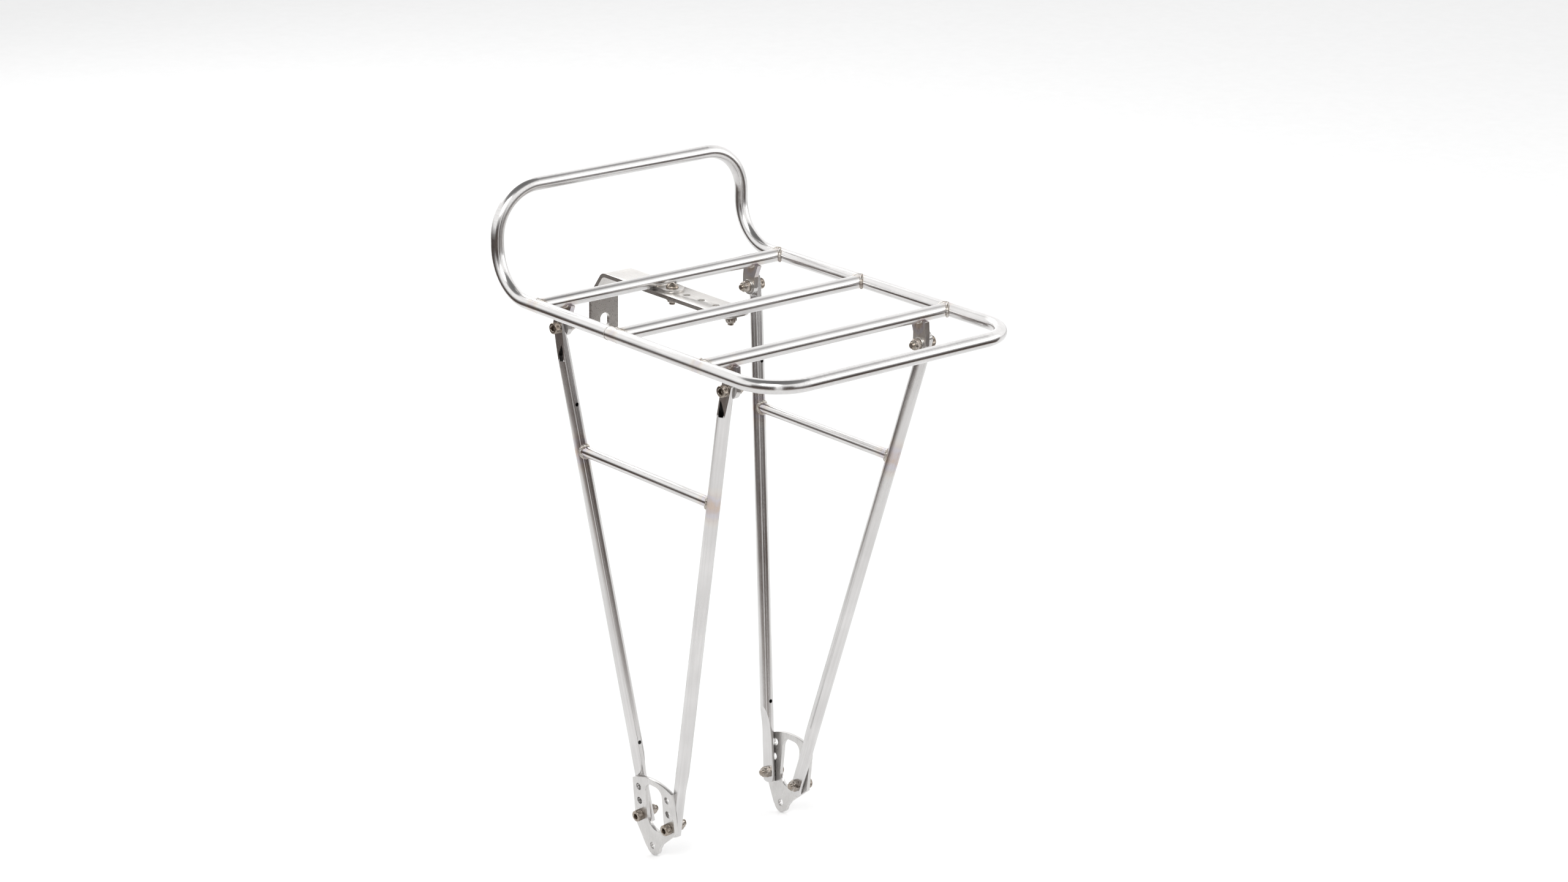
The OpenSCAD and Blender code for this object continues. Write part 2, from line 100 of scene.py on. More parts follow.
class Nodes:
    """Builds one material's node tree with short calls."""

    def __init__(self, name):
        self.mat = bpy.data.materials.new(name)
        self.mat.use_nodes = True
        self.tree = self.mat.node_tree
        self.tree.nodes.clear()
        self.out = self.add("ShaderNodeOutputMaterial")
        self.bsdf = self.add("ShaderNodeBsdfPrincipled")
        self.link(self.bsdf.outputs[0], self.out.inputs["Surface"])
        self.coord = self.add("ShaderNodeTexCoord").outputs["Object"]

    def add(self, kind, **props):
        node = self.tree.nodes.new(kind)
        for key, value in props.items():
            setattr(node, key, value)
        return node

    def link(self, a, b):
        self.tree.links.new(a, b)

    def mapped(self, scale, rotation=(0, 0, 0)):
        """Object coordinates turned back by the rotation, then scaled along the turned axes."""
        node = self.add("ShaderNodeMapping", vector_type="TEXTURE")
        node.inputs["Scale"].default_value = [1 / v for v in scale]
        node.inputs["Rotation"].default_value = rotation
        self.link(self.coord, node.inputs["Vector"])
        return node.outputs[0]

    def noise(self, vector, scale, detail=4.0, rough=0.55):
        node = self.add("ShaderNodeTexNoise")
        node.inputs["Scale"].default_value = scale
        node.inputs["Detail"].default_value = detail
        node.inputs["Roughness"].default_value = rough
        self.link(vector, node.inputs["Vector"])
        return node.outputs["Fac"]

    def ramp(self, fac, stops):
        node = self.add("ShaderNodeValToRGB")
        fill_ramp(node.color_ramp, stops)
        self.link(fac, node.inputs[0])
        return node.outputs[0]

    def grey(self, fac, low, high, a=0.3, b=0.7):
        return self.ramp(fac, [(a, (low,) * 3), (b, (high,) * 3)])

    def math(self, op, a, b):
        node = self.add("ShaderNodeMath", operation=op)
        for socket, value in zip(node.inputs, (a, b)):
            if isinstance(value, (int, float)):
                socket.default_value = value
            else:
                self.link(value, socket)
        return node.outputs[0]

    def mix(self, fac, a, b):
        node = self.add("ShaderNodeMix", data_type="RGBA")
        for socket, value in ((node.inputs[0], fac), (node.inputs[6], a), (node.inputs[7], b)):
            if isinstance(value, (int, float)):
                socket.default_value = value
            elif isinstance(value, tuple):
                socket.default_value = (*value, 1.0)
            else:
                self.link(value, socket)
        return node.outputs[2]

    def distance(self, point):
        node = self.add("ShaderNodeVectorMath", operation="DISTANCE")
        node.inputs[1].default_value = point
        self.link(self.coord, node.inputs[0])
        return node.outputs["Value"]

    def bump(self, height, strength, distance):
        node = self.add("ShaderNodeBump")
        node.inputs["Strength"].default_value = strength
        node.inputs["Distance"].default_value = distance
        self.link(height, node.inputs["Height"])
        self.link(node.outputs[0], self.bsdf.inputs["Normal"])

    def done(self, colour, rough, metallic=1.0):
        self.link(colour, self.bsdf.inputs["Base Color"])
        self.link(rough, self.bsdf.inputs["Roughness"])
        self.bsdf.inputs["Metallic"].default_value = metallic
        return self.mat


STEEL_LIGHT, STEEL_DARK, STEEL_LINES = (0.67, 0.66, 0.655), (0.58, 0.57, 0.565), (0.47, 0.46, 0.455)
STRAW, BRONZE, VIOLET = (0.72, 0.56, 0.34), (0.40, 0.25, 0.15), (0.34, 0.30, 0.40)


def tinted(n, colour, joints, reach):
    """Straw and bronze heat rings around welds, fading into the bare steel."""
    near = None
    for point in joints:
        fade = n.math("DIVIDE", n.distance(point), reach)
        near = fade if near is None else n.math("MINIMUM", near, fade)
    wobble = n.noise(n.mapped((1, 1, 1)), 160.0, 3.0)
    near = n.math("ADD", near, n.math("MULTIPLY", n.math("SUBTRACT", wobble, 0.5), 0.5))
    heat = n.ramp(near, [(0.30, (0.50,) * 3), (0.55, (0.28,) * 3), (0.80, (0.10,) * 3), (1.0, (0.0,) * 3)])
    tint = n.ramp(near, [(0.25, BRONZE), (0.5, VIOLET), (0.65, BRONZE), (0.9, STRAW)])
    return n.mix(heat, colour, tint)


def polished_tube(name, grain, rotation, joints=(), reach=0.016, low=0.10, high=0.22):
    """Polished stainless tube: fine drawing lines along the tube, cloudy buffing marks and fingerprints."""
    n = Nodes(name)
    lines = n.noise(n.mapped(grain, rotation), 900.0, 3.0, 0.6)
    clouds = n.noise(n.mapped((1, 1, 1)), 34.0, 4.0)
    smudge = n.noise(n.mapped((1, 1, 1)), 9.0, 3.0)
    specks = n.noise(n.mapped((1, 1, 1)), 2600.0, 2.0)
    colour = n.mix(n.grey(clouds, 0.0, 1.0), STEEL_LIGHT, STEEL_DARK)
    colour = n.mix(n.grey(lines, 0.0, 0.4), colour, STEEL_LINES)
    if joints:
        colour = tinted(n, colour, joints, reach)
    rough = n.math("ADD", n.grey(smudge, low, high), n.grey(lines, 0.0, 0.07))
    rough = n.math("ADD", rough, n.grey(specks, 0.0, 0.03))
    n.bump(n.math("ADD", lines, n.math("MULTIPLY", clouds, 0.6)), 0.03, 0.00005)
    return n.done(colour, rough)


def satin_plate(name, grain, joints=(), warm=0.0):
    """Laser-cut plate: rolled grain, small scuffs and slightly cloudy satin, a little yellower when warm."""
    n = Nodes(name)
    lines = n.noise(n.mapped(grain), 1300.0, 4.0, 0.65)
    clouds = n.noise(n.mapped((1, 1, 1)), 60.0, 5.0)
    scuffs = n.noise(n.mapped((1, 6, 1), (0.5, 0.3, 0.9)), 240.0, 5.0, 0.7)
    light = (0.66 - 0.06 * warm, 0.65 - 0.10 * warm, 0.64 - 0.16 * warm)
    dark = (0.56 - 0.08 * warm, 0.55 - 0.12 * warm, 0.54 - 0.16 * warm)
    colour = n.mix(n.grey(clouds, 0.0, 1.0), light, dark)
    colour = n.mix(n.grey(lines, 0.0, 0.4), colour, (0.45, 0.44, 0.43))
    if joints:
        colour = tinted(n, colour, joints, 0.014)
    rough = n.math("ADD", n.grey(lines, 0.24, 0.36), n.grey(scuffs, 0.0, 0.12, 0.55, 0.75))
    n.bump(n.math("ADD", lines, n.math("MULTIPLY", scuffs, 0.4)), 0.10, 0.00010)
    return n.done(colour, rough)


def fastener_metal(name, base, dark, low=0.14, high=0.30):
    """Turned or cold-headed stainless with handling wear and a little grime in random patches."""
    n = Nodes(name)
    wear = n.noise(n.mapped((1, 1, 1)), 420.0, 5.0, 0.6)
    turn = n.noise(n.mapped((1, 1, 1)), 3000.0, 2.0)
    grime = n.noise(n.mapped((1, 1, 1)), 150.0, 3.0)
    colour = n.mix(n.grey(wear, 0.0, 1.0), base, dark)
    colour = n.mix(n.grey(grime, 0.0, 0.45, 0.5, 0.8), colour, (0.20, 0.15, 0.11))
    rough = n.math("ADD", n.grey(wear, low, high), n.grey(turn, 0.0, 0.08))
    n.bump(turn, 0.08, 0.00004)
    return n.done(colour, rough)


def weld_metal():
    """Weld metal: bright ripples with straw, bronze and blue oxide."""
    n = Nodes("weld_metal")
    oxide = n.noise(n.mapped((1, 1, 1)), 260.0, 4.0)
    fine = n.noise(n.mapped((1, 1, 1)), 2200.0, 3.0)
    colour = n.ramp(oxide, [(0.30, (0.52, 0.51, 0.50)), (0.50, (0.46, 0.43, 0.39)),
                            (0.62, (0.32, 0.27, 0.23)), (0.75, (0.36, 0.36, 0.40))])
    rough = n.math("ADD", n.grey(oxide, 0.22, 0.40), n.grey(fine, 0.0, 0.08))
    n.bump(fine, 0.15, 0.00006)
    return n.done(colour, rough)


def nylon():
    """Milky nylon of the lock nuts' rings."""
    n = Nodes("nylon_ring")
    mottle = n.noise(n.mapped((1, 1, 1)), 700.0, 4.0)
    colour = n.ramp(mottle, [(0.3, (0.80, 0.79, 0.72)), (0.7, (0.90, 0.89, 0.84))])
    n.bump(mottle, 0.1, 0.00004)
    n.bsdf.inputs["Subsurface Weight"].default_value = 0.15
    n.bsdf.inputs["Subsurface Radius"].default_value = (0.002, 0.002, 0.0015)
    return n.done(colour, n.grey(mottle, 0.38, 0.55), metallic=0.0)


# ---------------------------------------------------------------- mesh helpers

def make_object(name, bm, material, smooth_angle=35.0):
    bmesh.ops.recalc_face_normals(bm, faces=bm.faces)
    mesh = bpy.data.meshes.new(name)
    bm.to_mesh(mesh)
    bm.free()
    mesh.materials.append(material)
    obj = bpy.data.objects.new(name, mesh)
    bpy.context.scene.collection.objects.link(obj)
    mesh.shade_smooth()
    mesh.set_sharp_from_angle(angle=math.radians(smooth_angle))
    return obj


def loft(bm, rings, close_rings=False, cap=True):
    """Skins a list of rings of points; every ring has the same number of points."""
    rows = [[bm.verts.new(p) for p in ring] for ring in rings]
    count = len(rows[0])
    pairs = list(zip(rows, rows[1:]))
    if close_rings:
        pairs.append((rows[-1], rows[0]))
    for a, b in pairs:
        for i in range(count):
            j = (i + 1) % count
            bm.faces.new((a[i], a[j], b[j], b[i]))
    if cap and not close_rings:
        bm.faces.new(rows[0])
        bm.faces.new(rows[-1])
    return rows


def frame_at(tangent, hint):
    """Two unit vectors square to the tangent, the first as near the hint as can be."""
    t = tangent.normalized()
    u = (hint - t * hint.dot(t)).normalized()
    return u, t.cross(u)


# ---------------------------------------------------------------- fasteners

HEAD_SEGMENTS, SHANK_SEGMENTS = 72, 24


def angles(count):
    """Equal angles around a full turn."""
    return [2 * math.pi * i / count for i in range(count)]


def polar_ring(radii, height, matrix):
    """A ring of points at equal angles about the local Z axis, each at its own radius."""
    return [matrix @ Vector((r * math.cos(a), r * math.sin(a), height))
            for r, a in zip(radii, angles(len(radii)))]


def round_ring(radius, height, segments, matrix):
    return polar_ring([radius] * segments, height, matrix)


def hexagon(across_flats, height, segments, matrix, reach=math.inf):
    """A hexagon's outline cut into equal-angle points, its corners rounded off at reach."""
    radii = []
    for a in angles(segments):
        sector = a % (math.pi / 3) - math.pi / 6
        radii.append(min(across_flats / 2 / math.cos(sector), reach))
    return polar_ring(radii, height, matrix)


def thread(matrix, top, bottom):
    """A true helical thread from top down to bottom, on the screw's outer radius, ending in a chamfer."""
    turns = (top - bottom) / THREAD_PITCH
    rows = int(turns * 4) + 1
    rings = []
    for k in range(rows + 1):
        h = top + (bottom - top) * k / rows
        fade = min(1.0, (h - bottom) / (0.5 * MM) + 0.15)
        start = min(1.0, (top - h) / (0.6 * MM))
        radii = []
        for a in angles(SHANK_SEGMENTS):
            phase = ((top - h) / THREAD_PITCH - a / (2 * math.pi)) % 1.0
            crest = 1.0 - abs(2.0 * phase - 1.0)
            radii.append(SCREW_R - 0.03 * MM - THREAD_DEPTH * start * (1.0 - crest) - (1.0 - fade) * 0.45 * MM)
        rings.append(polar_ring(radii, h, matrix))
    return rings


def cap_head(matrix):
    """A tall straight head: rolled lower edge, knurled side and chamfered top."""
    r, h = CAP_HEAD_R, CAP_HEAD_H
    outline = [(SCREW_R, 0.0), (r - 0.3 * MM, 0.0), (r - 0.05 * MM, 0.25 * MM), (r, 0.5 * MM)]
    rings = [round_ring(radius, height, HEAD_SEGMENTS, matrix) for radius, height in outline]
    knurled = [r - KNURL_DEPTH if i % 2 else r for i in range(HEAD_SEGMENTS)]
    for k in range(1, KNURL_ROWS + 1):
        rings.append(polar_ring(knurled, 0.5 * MM + (h - 1.3 * MM) * k / KNURL_ROWS, matrix))
    chamfer = [(r - 0.08 * MM, h - 0.45 * MM), (r - 0.3 * MM, h - 0.12 * MM), (r - 0.6 * MM, h)]
    return rings + [round_ring(radius, height, HEAD_SEGMENTS, matrix) for radius, height in chamfer]


def button_head(matrix):
    """A low domed head with a small flat crown."""
    r, h = BUTTON_HEAD_R, BUTTON_HEAD_H
    outline = [(SCREW_R, 0.0), (r - 0.2 * MM, 0.0), (r, 0.2 * MM)]
    for k in range(1, 9):
        a = math.radians(12 + 66 * k / 9)
        outline.append((r * math.cos(a) ** 0.72, 0.2 * MM + (h - 0.2 * MM) * math.sin(a) ** 1.05))
    outline.append((BUTTON_CROWN_R, h))
    return [round_ring(radius, height, HEAD_SEGMENTS, matrix) for radius, height in outline]


def screw(bm, matrix, head, grip):
    """A socket screw with its seat at height 0, the head above and the threaded shank below."""
    if head == "cap":
        rings, h, socket, deep = cap_head(matrix), CAP_HEAD_H, CAP_SOCKET, CAP_SOCKET_DEPTH
    else:
        rings, h, socket, deep = button_head(matrix), BUTTON_HEAD_H, BUTTON_SOCKET, BUTTON_SOCKET_DEPTH
    rings.append(round_ring(socket * 0.62, h, HEAD_SEGMENTS, matrix))
    rings.append(hexagon(socket, h - 0.28 * MM, HEAD_SEGMENTS, matrix))
    rings.append(hexagon(socket, h - deep, HEAD_SEGMENTS, matrix))
    rings.append(round_ring(0.9 * MM, h - deep - 0.5 * MM, HEAD_SEGMENTS, matrix))
    rings.append(round_ring(0.05 * MM, h - deep - 0.65 * MM, HEAD_SEGMENTS, matrix))
    loft(bm, rings)
    end = -(grip + NUT_H + SCREW_PROUD)
    plain = [round_ring(SCREW_R - 0.02 * MM, height, SHANK_SEGMENTS, matrix)
             for height in (0.4 * MM, -grip * 0.98)]
    tip = round_ring(1.5 * MM, end, SHANK_SEGMENTS, matrix)
    loft(bm, plain + thread(matrix, -grip, end) + [tip])


def lock_nut(bm, matrix, turn):
    """A nylon-insert nut with its seat at height 0 and its collar below: chamfered hexagon, rolled lip."""
    corner_r = NUT_AF / 2 / math.cos(math.pi / 6)
    bore, lip = SCREW_R + 0.05 * MM, NUT_COLLAR_R - 0.95 * MM
    spin = matrix @ Matrix.Rotation(turn, 4, "Z")
    seat = [(bore, -0.5 * MM), (SCREW_R + 0.45 * MM, 0.0), (NUT_AF / 2 - 0.15 * MM, 0.0)]
    flats = [(-0.12 * MM, 4.12 * MM), (-0.42 * MM, corner_r), (-NUT_HEX_H + 0.55 * MM, corner_r),
             (-NUT_HEX_H + 0.1 * MM, 4.0 * MM)]
    collar = [(NUT_COLLAR_R, -NUT_HEX_H - 0.05 * MM), (NUT_COLLAR_R, -NUT_H + 0.65 * MM),
              (NUT_COLLAR_R - 0.12 * MM, -NUT_H + 0.28 * MM), (NUT_COLLAR_R - 0.5 * MM, -NUT_H + 0.02 * MM),
              (NUT_COLLAR_R - 0.8 * MM, -NUT_H), (lip, -NUT_H + 0.15 * MM), (lip, -NUT_H + 0.45 * MM),
              (bore, -NUT_H + 0.6 * MM)]
    rings = [round_ring(r, h, HEAD_SEGMENTS, matrix) for r, h in seat]
    rings += [hexagon(NUT_AF, h, HEAD_SEGMENTS, spin, reach) for h, reach in flats]
    rings += [round_ring(r, h, HEAD_SEGMENTS, matrix) for r, h in collar]
    loft(bm, rings, close_rings=True)


def nylon_ring(bm, matrix):
    outer, inner = NUT_COLLAR_R - 0.97 * MM, SCREW_R - 0.1 * MM
    profile = [(outer, -NUT_H + 1.4 * MM), (outer, -NUT_H + 0.36 * MM), (outer - 0.1 * MM, -NUT_H + 0.26 * MM),
               (inner + 0.1 * MM, -NUT_H + 0.22 * MM), (inner, -NUT_H + 0.34 * MM), (inner, -NUT_H + 1.4 * MM)]
    loft(bm, [round_ring(r, h, 48, matrix) for r, h in profile], close_rings=True)


def washer(bm, matrix):
    inner, edge = SCREW_R + 0.15 * MM, 0.14 * MM
    profile = [(inner, -edge), (inner + edge, 0), (WASHER_R - edge, 0), (WASHER_R, -edge),
               (WASHER_R, -WASHER_T + edge), (WASHER_R - edge, -WASHER_T), (inner + edge, -WASHER_T),
               (inner, -WASHER_T + edge)]
    loft(bm, [round_ring(r, h, 64, matrix) for r, h in profile], close_rings=True)


def pointing(place, direction):
    """Matrix that puts a fastener's seat at place with its head towards direction."""
    return Matrix.Translation(place) @ direction.to_track_quat("Z", "Y").to_matrix().to_4x4()


def group_centres(node, radius):
    """The places of a group's two screws, rear one first: their heads are at the group's ends along Y."""
    low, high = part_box(node)
    middle = (low + high) / 2
    return [Vector((middle.x, y, middle.z)) for y in (high.y - radius, low.y + radius)]


def fastener_set(name, seats, head, grip, nodes):
    """Screws, nuts, nylon rings and perhaps washers; nodes names the CAD node that each kind takes over."""
    parts = {"screws": bmesh.new(), "nuts": bmesh.new(), "rings": bmesh.new(), "washers": bmesh.new()}
    with_washer = "washers" in nodes
    for k, (place, direction) in enumerate(seats):
        seat = pointing(place, direction) @ Matrix.Rotation(0.35 + 0.9 * k, 4, "Z")
        screw(parts["screws"], seat, head, grip)
        far = seat @ Matrix.Translation((0, 0, -grip))
        lock_nut(parts["nuts"], far, 0.4 + 0.5 * k)
        nylon_ring(parts["rings"], far)
        if with_washer:
            washer(parts["washers"], far @ Matrix.Translation((0, 0, WASHER_T)))
    materials = {"screws": SCREW_METAL, "nuts": NUT_METAL, "rings": NYLON, "washers": WASHER_METAL}
    for kind, material in materials.items():
        if kind == "washers" and not with_washer:
            parts[kind].free()
            continue
        piece = make_object(f"{name}_{kind}", parts[kind], material, 28.0)
        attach(piece, "root")
        if kind in nodes:
            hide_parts(nodes[kind])


# ---------------------------------------------------------------- welds

def bead(bm, points, radii, hint, closed=True, ripple=0.16, pitch=1.1 * MM, segments=12):
    """A rippled weld bead along a path: the radius swells once for every puddle."""
    count = len(points)
    rings = []
    walked = 0.0
    turns = angles(segments)
    for k, p in enumerate(points):
        before = points[k - 1] if (closed or k) else points[0]
        after = points[(k + 1) % count] if (closed or k < count - 1) else points[-1]
        tangent = after - before
        walked += (p - before).length if k else 0.0
        u, v = frame_at(tangent, hint(p))
        wave = abs(math.sin(math.pi * walked / pitch))
        r = radii[k] * (1.0 - ripple + ripple * wave)
        if not closed and k in (0, count - 1):
            r *= 0.35
        rings.append([p + (u * math.cos(a) + v * math.sin(a)) * r for a in turns])
    loft(bm, rings, close_rings=closed, cap=not closed)


def saddle_points(centre, axis, inward, side, tube_r, rail_r, axis_rail, steps=110):
    """The line where a round tube meets a round rail: centre is on the rail's axis."""
    points = []
    for a in angles(steps):
        along = tube_r * math.cos(a)
        off = tube_r * math.sin(a)
        reach = math.sqrt(max(rail_r ** 2 - off ** 2, 0.0))
        points.append(centre + axis_rail * along + side * off + axis * inward * reach)
    return points


def tube_joint(bm, centre, axis, inward, tube_r, rail_r, axis_rail, size):
    """A weld around a tube's end on a rail, thinnest at the tube's sides; inward is the tube's way along axis."""
    side = axis_rail.cross(axis).normalized()
    points = saddle_points(centre, axis, inward, side, tube_r, rail_r, axis_rail)
    radii = []
    for p in points:
        off = abs((p - centre).dot(side)) / tube_r
        radii.append(size * (1.0 - 0.45 * off ** 4))
    bead(bm, points, radii, lambda p: p - centre)


def open_bead(bm, points, size, hint=UP):
    bead(bm, points, [size] * len(points), lambda p: hint, closed=False)


def finish_weld(name, bm):
    """Makes a weld's object in the weld metal: it belongs to the rack."""
    piece = make_object(name, bm, WELD, 60.0)
    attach(piece, "root")


# ---------------------------------------------------------------- places from the frame

SIDES = {-1: "left", 1: "right"}
cross_nodes = ["cross_tube_rear", "cross_tube_middle", "cross_tube_front"]


def box_middle(node):
    low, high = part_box(node)
    return (low + high) / 2


cross_y = {node: box_middle(node).y for node in cross_nodes}
PLATFORM_Z = box_middle(cross_nodes[0]).z
RAIL_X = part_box("hoop")[1].x - TUBE_R
joints = [Vector((side * RAIL_X, y, PLATFORM_Z)) for y in cross_y.values() for side in SIDES]

side_tilt = {side: Matrix.Translation((side * EYELET_HALF, 0, 0)) @ Matrix.Rotation(side * LEAN, 4, "Y")
             for side in SIDES}


def leg_line(side, upper_bolt, lower_bolt):
    """Centre line of a leg, from its lower bolt to its upper bolt."""
    axis_x = -side * (PLATE_T / 2 + LEG_SEAT)
    foot = side_tilt[side] @ Vector((axis_x, lower_bolt.y, FOOT_Z))
    rise = (upper_bolt.z - foot.z) / math.cos(LEAN)
    head = side_tilt[side] @ Vector((axis_x, upper_bolt.y, FOOT_Z + rise))
    return foot, head


upper, lower, legs = {}, {}, {}
for side, word in SIDES.items():
    upper_node, lower_node = f"cap_screws_upper_{word}", f"cap_screws_lower_{word}"
    low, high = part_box(upper_node)
    seat_x = (high.x if side > 0 else low.x) - side * CAP_HEAD_H
    upper[side] = [Vector((seat_x, p.y, p.z)) for p in group_centres(upper_node, CAP_HEAD_R)]
    lower[side] = [side_tilt[side] @ Vector((side * PLATE_T / 2, p.y, FOOT_Z))
                   for p in group_centres(lower_node, CAP_HEAD_R)]
    for end, upper_bolt, lower_bolt in zip(("rear", "front"), upper[side], lower[side]):
        legs[(side, end)] = leg_line(side, upper_bolt, lower_bolt)


def leg_point(side, end, z):
    foot, head = legs[(side, end)]
    return foot.lerp(head, (z - foot.z) / (head.z - foot.z))


BRACE_Z = box_middle("brace_right").z
brace_ends = {leg: leg_point(*leg, BRACE_Z) for leg in legs}

# ---------------------------------------------------------------- materials

SCREW_METAL = fastener_metal("screw_steel", (0.40, 0.36, 0.32), (0.24, 0.20, 0.16))
NUT_METAL = fastener_metal("nut_steel", (0.46, 0.43, 0.40), (0.28, 0.24, 0.20))
WASHER_METAL = fastener_metal("washer_steel", (0.58, 0.57, 0.55), (0.42, 0.40, 0.38), 0.2, 0.34)
NYLON = nylon()
WELD = weld_metal()

LEG_TAB_X = 88.0 * MM
JOINT_HEAT, CROSS_HEAT, BRACE_HEAT = 9.0 * MM, 10.0 * MM, 18.0 * MM
tab_tops = [Vector((side * LEG_TAB_X, cross_y[f"cross_tube_{end}"], PLATFORM_Z - TUBE_R))
            for side, end in legs]
hoop_metal = polished_tube("hoop_steel", (1, 0.02, 1), (0, 0, 0), joints, JOINT_HEAT)
cross_metal = polished_tube("cross_tube_steel", (0.02, 1, 1), (0, 0, 0), joints + tab_tops, CROSS_HEAT)
brace_metal = polished_tube("brace_steel", (1, 0.02, 1), (0, 0, 0), list(brace_ends.values()), BRACE_HEAT)
tab_metal = satin_plate("tab_steel", (1, 1, 0.05), tab_tops)
bracket_metal = satin_plate("bracket_steel", (1, 0.04, 1), warm=0.25)
plate_metal = satin_plate("dropout_steel", (1, 1, 0.05))


def dress(node, material):
    """Gives a CAD node its material."""
    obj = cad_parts[node]
    obj.data.materials.clear()
    obj.data.materials.append(material)


def soften(node):
    """Gives a flat CAD piece worn edges: joins its doubled points and flat faces, then bevels its edges."""
    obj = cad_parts[node]
    weld = obj.modifiers.new("merge", "WELD")
    weld.merge_threshold = 0.000002
    flat = obj.modifiers.new("flat_faces", "DECIMATE")
    flat.decimate_type = "DISSOLVE"
    flat.angle_limit = math.radians(0.5)
    bevel = obj.modifiers.new("edge_wear", "BEVEL")
    bevel.width = EDGE_WEAR
    bevel.segments = 2
    bevel.limit_method = "ANGLE"
    bevel.angle_limit = math.radians(30.0)
    bevel.harden_normals = True
    bevel.miter_outer = "MITER_ARC"


dress("hoop", hoop_metal)
for node in cross_nodes:
    dress(node, cross_metal)
for side, word in SIDES.items():
    dress(f"brace_{word}", brace_metal)
    dress(f"dropout_plate_{word}", plate_metal)
    soften(f"dropout_plate_{word}")
    for end in ("rear", "front"):
        foot, head = legs[(side, end)]
        turn = tuple((head - foot).to_track_quat("Z", "Y").to_euler())
        leg_metal = polished_tube(f"leg_steel_{end}_{word}", (1, 1, 0.02), turn, [brace_ends[(side, end)]],
                                  BRACE_HEAT, 0.12, 0.24)
        dress(f"leg_{end}_{word}", leg_metal)
        dress(f"leg_tab_{end}_{word}", tab_metal)
        soften(f"leg_tab_{end}_{word}")
for node in ("bracket_tab_rear", "bracket_tab_middle", "crown_bracket"):
    dress(node, bracket_metal)
    soften(node)

# ---------------------------------------------------------------- fasteners in place

for side, word in SIDES.items():
    replaced = {"screws": f"cap_screws_upper_{word}", "nuts": f"lock_nuts_upper_{word}",
                "washers": f"washers_upper_{word}"}
    if side < 0:
        # The CAD has one node for the rings of every nut
        replaced["rings"] = "nylon_inserts"
    fastener_set(f"upper_{word}", [(p, ACROSS * side) for p in upper[side]], "cap", UPPER_GRIP, replaced)
    leaning = (side_tilt[side].to_3x3() @ ACROSS) * side
    fastener_set(f"lower_{word}", [(p, leaning) for p in lower[side]], "cap", LOWER_GRIP,
                 {"screws": f"cap_screws_lower_{word}", "nuts": f"lock_nuts_lower_{word}"})
bracket_seat_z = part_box("button_screws_bracket")[1].z - BUTTON_HEAD_H
bracket_seats = [(Vector((0, p.y, bracket_seat_z)), UP)
                 for p in group_centres("button_screws_bracket", BUTTON_HEAD_R)]
fastener_set("bracket", bracket_seats, "button", BRACKET_GRIP,
             {"screws": "button_screws_bracket", "nuts": "lock_nuts_bracket", "washers": "washers_bracket"})

# ---------------------------------------------------------------- welds in place

BEAD_STEPS = 40

for node, y in cross_y.items():
    bm = bmesh.new()
    for side in SIDES:
        centre = Vector((side * RAIL_X, y, PLATFORM_Z))
        tube_joint(bm, centre, ACROSS, -side, TUBE_R, TUBE_R, ALONG, TUBE_WELD)
    finish_weld(f"weld_{node}", bm)

for side, word in SIDES.items():
    bm = bmesh.new()
    for end, way in (("rear", -1), ("front", 1)):
        foot, head = legs[(side, end)]
        leg_axis = (head - foot).normalized()
        tube_joint(bm, brace_ends[(side, end)], ALONG, way, BRACE_R, TUBE_R, leg_axis, BRACE_WELD)
    finish_weld(f"weld_brace_{word}", bm)

for side, word in SIDES.items():
    bm = bmesh.new()
    for end in ("rear", "front"):
        low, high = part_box(f"leg_tab_{end}_{word}")
        y = cross_y[f"cross_tube_{end}"]
        half = min(y - low.y, high.y - y, TUBE_R * 0.82)
        offsets = [half * (2 * k / BEAD_STEPS - 1) for k in range(BEAD_STEPS + 1)]
        for x in (low.x, high.x):
            points = [Vector((x, y + off, PLATFORM_Z - math.sqrt(TUBE_R ** 2 - off ** 2))) for off in offsets]
            open_bead(bm, points, LEG_TAB_WELD)
    finish_weld(f"weld_leg_tabs_{word}", bm)

bm = bmesh.new()
for end, way in (("rear", -1), ("middle", 1)):
    low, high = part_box(f"bracket_tab_{end}")
    y = cross_y[f"cross_tube_{end}"] + way * math.sqrt(TUBE_R ** 2 - (PLATFORM_Z - high.z) ** 2)
    first = Vector((low.x + BRACKET_WELD_END, y, high.z))
    last = Vector((high.x - BRACKET_WELD_END, y, high.z))
    points = [first.lerp(last, k / BEAD_STEPS) for k in range(BEAD_STEPS + 1)]
    open_bead(bm, points, BRACKET_TAB_WELD, UP + Vector((0.01, 0.02, 0)))
finish_weld("weld_bracket_tabs", bm)

# The butt weld that closes the hoop's tube, on the left rail
seam_centre = Vector((-RAIL_X, SEAM_Y, PLATFORM_Z))
seam = [seam_centre + Vector((TUBE_R * math.cos(a), 0, TUBE_R * math.sin(a))) for a in angles(96)]
bm = bmesh.new()
bead(bm, seam, [SEAM_WELD] * len(seam), lambda p: p - seam_centre, pitch=SEAM_PITCH)
finish_weld("weld_hoop_seam", bm)

# ---------------------------------------------------------------- stage, light and camera


def stage_material():
    """A matt, nearly white floor."""
    n = Nodes("pale_floor")
    speckle = n.noise(n.mapped((1, 1, 1)), 60.0, 3.0)
    colour = n.ramp(speckle, [(0.3, (0.88, 0.88, 0.88)), (0.7, (0.90, 0.90, 0.90))])
    return n.done(colour, n.grey(speckle, 0.75, 0.85), metallic=0.0)


